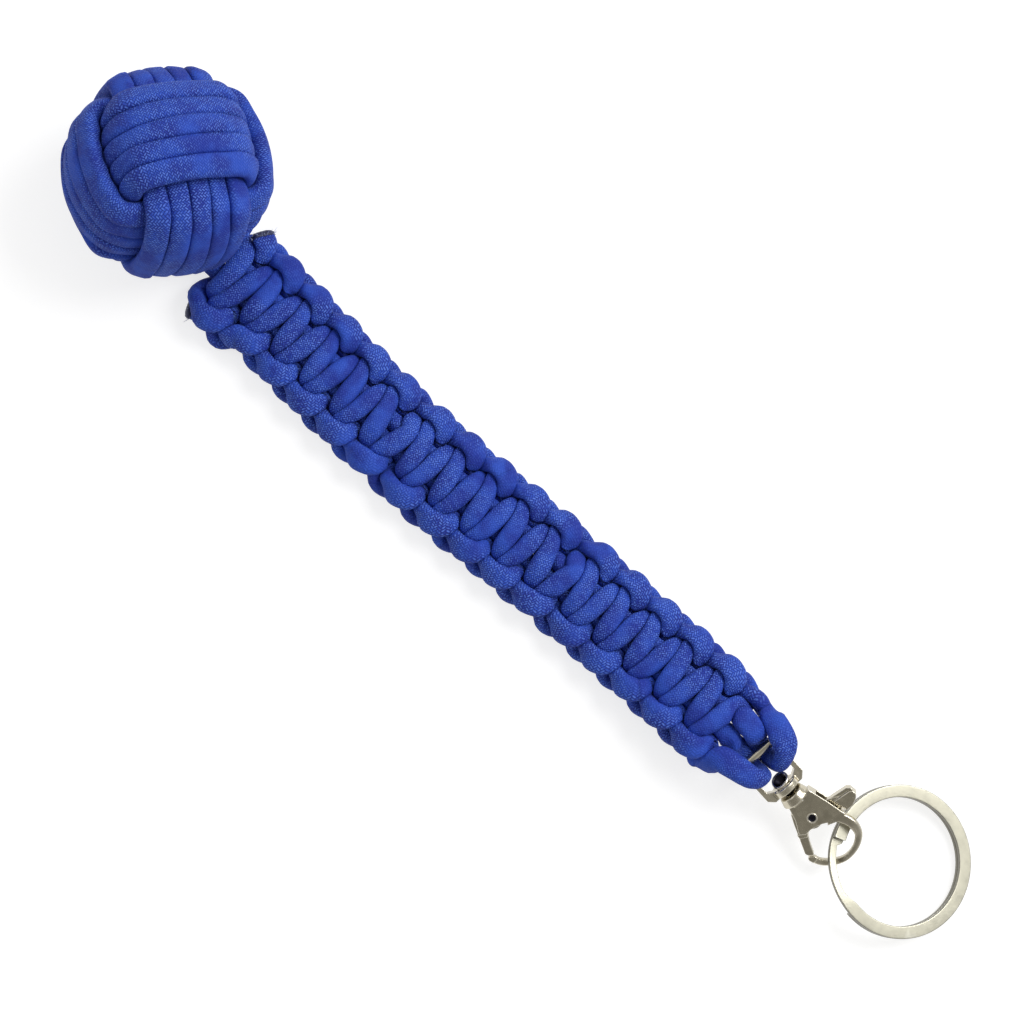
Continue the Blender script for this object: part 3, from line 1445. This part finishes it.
    def rivet(self, finishes: Finishes) -> Object:
        """Return the hollow rivet, its head flared into a funnel inside the bail."""
        builder = bmesh.new()
        steps, frame = 48, self.hook_frame()
        rings = [
            turned_ring(builder, along, radius, steps, frame @ self.leaning(along, self.rim_lean * share))
            for along, radius, share in self.rivet_rings
        ]
        joined(builder, rings, closed=True)
        bands = range(len(rings) - 5, len(rings))
        piece = hollowed("hollow_rivet", builder, steps, bands, finishes.nickel, finishes.bore)
        return settle(piece, "clasp_nickel", "hook", "swivel_rivet")

    def leaning(self, along: float, angle: float) -> Matrix:
        """Return a turn about the level line across the clasp at a distance along it, top toward the nose."""
        shift = Matrix.Translation((along * MM, 0, 0))
        return shift @ Matrix.Rotation(angle, 4, "Y") @ shift.inverted()

    def hook(self, finishes: Finishes) -> Object:
        """Return the hook: a turned collar, two cheeks either side of the lever's slot, and the round arm."""
        builder = bmesh.new()
        wall, half = self.slot_half * MM, self.plate_half * MM
        prism_into(builder, self.cheek, wall, half)
        prism_into(builder, self.cheek, -half, -wall)
        prism_into(builder, self.root, -half, half)
        prism_into(builder, self.nose, -half, half)
        lathe_into(builder, self.collar, 48, self.leaning(11.4, self.disc_lean), True)
        bar_into(builder, self.arm, 0.3 * MM, 24)
        prism_into(builder, self.tip, -1.2 * MM, 0.3 * MM)
        piece = cast("cast_hook", builder, self.hook_frame(), finishes.nickel, 0.11 * MM, 3)
        return settle(piece, "clasp_nickel", "hook", "hook_body")

    def gate(self, finishes: Finishes) -> Object:
        """Return the gate lever with its thumb pad."""
        builder = bmesh.new()
        height = self.lever_height * MM
        prism_into(builder, self.lever, height - self.lever_half * MM, height + self.lever_half * MM)
        prism_into(builder, self.lug, height, 1.05 * MM)
        prism_into(builder, self.pad, height - 1.3 * MM, 0.3 * MM)
        prism_into(builder, self.pad_top, height, 0.97 * MM)
        piece = cast("cast_gate", builder, self.hook_frame(), finishes.nickel, 0.10 * MM, 2)
        return settle(piece, "clasp_nickel", "gate", "gate_lever")

    def pin(self, finishes: Finishes) -> Object:
        """Return the gate's pin, its ends spread and dimpled by a punch."""
        along, across = self.pivot
        turn = Matrix.Translation((along * MM, across * MM, 0)) @ Matrix.Rotation(math.radians(-90), 4, "Y")
        head = [(self.plate_half + beyond, radius) for beyond, radius in self.pin_head]
        profile = [(-height, radius) for height, radius in reversed(head)] + [(0.0, self.pin_shank), *head]
        builder = bmesh.new()
        steps, count = 36, len(profile)
        lathe_into(builder, profile, steps, self.hook_frame() @ turn, False)
        bands = (0, 1, count - 3, count - 2, count - 1)
        piece = hollowed("punched_pin", builder, steps, bands, finishes.pin, finishes.bore)
        return settle(piece, "pin_nickel", "hook", "gate_pivot_pin")


@dataclass
class SplitRing:
    """The key ring: flat wire in two turns that step past each other."""

    fist: Fist
    outer_radius: float = 16.0 * MM
    wire_width: float = 2.6 * MM
    wire_thickness: float = 1.0 * MM
    turn_gap: float = 0.2 * MM
    from_ball: float = 207.21 * MM
    aside: float = 2.67 * MM
    slope_x: float = -0.15
    slope_y: float = -0.16
    jog_start: float = math.radians(206)
    jog_sweep: float = math.radians(56)
    jog_pinch: float = 0.42
    pinch_in: float = 0.05
    pinch_out: float = 0.25
    end_gap: float = math.radians(2.5)
    steps_per_turn: int = 150
    corner: float = 12.0
    section_points: int = 32
    edge_share: float = 0.74
    sharp_angle: float = math.radians(60)

    def frame(self) -> Matrix:
        """Return the ring's frame, with Z along its axis."""
        up = Vector((-self.slope_x, -self.slope_y, 1)).normalized()
        along = Vector((1, 0, self.slope_x)).normalized()
        turn = Matrix((along, up.cross(along), up)).transposed().to_4x4()
        slope = math.hypot(self.slope_x, self.slope_y)
        lift = self.outer_radius * slope / math.sqrt(1 + slope**2)
        half = (2 * self.wire_thickness + self.turn_gap) / 2 / math.sqrt(1 + slope**2)
        turn.translation = (self.fist.ball_x + self.from_ball, self.aside, lift + half)
        return turn

    def build(self, finishes: Finishes) -> Object:
        """Add the ring.

        Args:
            finishes: The materials.

        Returns:
            The piece.
        """
        layer = (self.wire_thickness + self.turn_gap) / 2
        middle = self.outer_radius - self.wire_width / 2
        start = self.jog_start + self.jog_sweep + self.end_gap
        jog_from = self.jog_start + FULL_TURN
        end = jog_from + FULL_TURN - self.end_gap
        count = round(self.steps_per_turn * (end - start) / FULL_TURN)
        size = self.section_points
        cosine, sine = rounded_oblong(size, 2 / self.corner)
        wide, tall = cosine * self.wire_width / 2, sine * self.wire_thickness / 2
        rings = []
        for angle in np.linspace(start, end, count + 1):
            share = min(max((angle - jog_from) / self.jog_sweep, 0.0), 1.0)
            height = layer * (2 * share * share * (3 - 2 * share) - 1)
            # The wire is pinched where it steps from one turn to the other
            pinch = self.jog_pinch * min(1.0, share / self.pinch_in, (1 - share) / self.pinch_out)
            radius = middle + (self.wire_width / 2) * pinch + wide * (1 - pinch)
            around = (radius * math.cos(angle), radius * math.sin(angle))
            rings.append(np.column_stack([*around, height + tall]))
        faces = quads(len(rings), size).tolist()
        faces += [tuple(range(size - 1, -1, -1)), tuple(range((len(rings) - 1) * size, len(rings) * size))]
        data = bpy.data.meshes.new("rolled_ring")
        data.from_pydata(np.vstack(rings).tolist(), [], faces)
        data.transform(self.frame())
        data.flip_normals()
        piece = add_object("rolled_ring", data, finishes.ring)
        # The wire's narrow edges are rolled, not polished, so they look darker than its faces
        data.materials.append(finishes.wire_edge)
        middles = (np.arange(size) + 0.5) * FULL_TURN / size
        side = np.abs(np.cos(middles)) > self.edge_share
        edges = np.concatenate([np.tile(side, len(rings) - 1), [True, True]])
        data.polygons.foreach_set("material_index", edges.astype(np.int32))
        data.set_sharp_from_angle(angle=self.sharp_angle)
        return settle(piece, "ring_nickel", "ring", "split_ring")


# The studio


@dataclass
class Studio:
    """A white table, a large soft light from the upper right and the camera looking down."""

    target: tuple[float, float, float] = (-3.15 * MM, 0.25 * MM, 4.0 * MM)
    camera_place: tuple[float, float, float] = (-3.15 * MM, -80.47 * MM, 578.36 * MM)
    camera_roll: float = 0.7564
    lens: float = 97.54
    key_place: tuple[float, float, float] = (0.14, 0.44, 0.60)
    key_size: float = 0.42
    key_power: float = 3.4
    fill_place: tuple[float, float, float] = (-0.35, -0.30, 0.50)
    fill_size: float = 0.5
    fill_power: float = 0.5
    zenith: str = "#B2B0AB"
    horizon: str = "#FFFFFF"
    dark_way: tuple[float, float, float] = (0.0, -0.6, 0.8)
    world_strength: float = 0.62
    floor_size: float = 3.0
    floor_height: float = -0.02 * MM

    def build(self) -> None:
        """Add the floor, the sky, the lights and the camera."""
        self.floor()
        self.sky()
        self.light("key_softbox", self.key_place, self.key_size, self.key_power)
        self.light("fill_softbox", self.fill_place, self.fill_size, self.fill_power)
        self.camera()
        bpy.context.scene.view_settings.view_transform = "Standard"

    def floor(self) -> None:
        """Add the table, a plain white sweep."""
        builder = bmesh.new()
        bmesh.ops.create_grid(builder, x_segments=8, y_segments=8, size=self.floor_size)
        paper = Paper("white_paper_sweep", "#B5B5B5", 0.9, glow=0.7).make()
        made = add_object("paper_table", mesh_of(builder, "paper_table"), paper)
        made.location.z = self.floor_height

    def sky(self) -> None:
        """Light the scene from all round, with one dark side that the clasp's flat faces mirror."""
        world = bpy.data.worlds.new("studio_sky")
        bpy.context.scene.world = world
        world.use_nodes = True
        tree = world.node_tree
        background = tree.nodes["Background"]
        direction = put(tree, "ShaderNodeTexCoord", out=0)
        split = put(tree, "ShaderNodeSeparateXYZ", direction).node
        aside = math_node(tree, "MULTIPLY", split.outputs[1], self.dark_way[1])
        above = math_node(tree, "MULTIPLY", split.outputs[2], self.dark_way[2])
        ramp = put(tree, "ShaderNodeValToRGB", math_node(tree, "ADD", aside, above)).node
        stops = ramp.color_ramp.elements
        stops[0].position, stops[0].color = 0.45, hex_colour(self.horizon)
        stops[1].position, stops[1].color = 0.95, hex_colour(self.zenith)
        tree.links.new(ramp.outputs[0], background.inputs["Color"])
        background.inputs["Strength"].default_value = self.world_strength

    def light(self, name: str, place: Sequence[float], size: float, power: float) -> None:
        """Add a square soft light aimed at the middle of the object.

        Args:
            name: The light's name.
            place: Where it is.
            size: The length of its sides.
            power: Its power in watts.
        """
        data = bpy.data.lights.new(name, "AREA")
        data.size = size
        data.energy = power
        made = bpy.data.objects.new(name, data)
        made.location = place
        made.rotation_euler = (-Vector(place)).to_track_quat("-Z", "Y").to_euler()
        bpy.context.scene.collection.objects.link(made)

    def camera(self) -> None:
        """Add the camera at the photograph's angle."""
        place, target = Vector(self.camera_place), Vector(self.target)
        ahead = (target - place).normalized()
        up = (Vector((0, 1, 0)) - ahead * ahead.y).normalized()
        side = ahead.cross(up)
        right = side * math.cos(self.camera_roll) + up * math.sin(self.camera_roll)
        above = up * math.cos(self.camera_roll) - side * math.sin(self.camera_roll)
        data = bpy.data.cameras.new("photo_camera")
        data.sensor_width = 36.0
        data.lens = self.lens
        made = bpy.data.objects.new("photo_camera", data)
        turn = Matrix((right, above, -ahead)).transposed().to_4x4()
        made.matrix_world = Matrix.Translation(place) @ turn
        bpy.context.scene.collection.objects.link(made)
        bpy.context.scene.camera = made


def report(pieces: Sequence[Object]) -> None:
    """Log each piece's name and how many faces it has."""
    for piece in pieces:
        LOG.info("%s: %d faces", piece.name, len(piece.data.polygons))


def main() -> None:
    """Dress the fob and set up the studio."""
    logging.basicConfig(level=logging.INFO, format="%(message)s")
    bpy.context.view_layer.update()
    finishes = Finishes()
    fist = Fist()
    strap = Strap(fist)
    clasp = Clasp(strap)
    wraps = fist.strands()
    cords = strap.strands(clasp.bail_frame())
    obstacles = fist.obstacles() + strap.obstacles(clasp.bail_frame())
    CordSkinner().dress(wraps + cords, obstacles)
    report(fist.build(wraps, finishes))
    report(strap.build(cords, finishes))
    report(clasp.build(finishes))
    report([SplitRing(fist).build(finishes)])
    Studio().build()


if __name__ == "__main__":
    main()
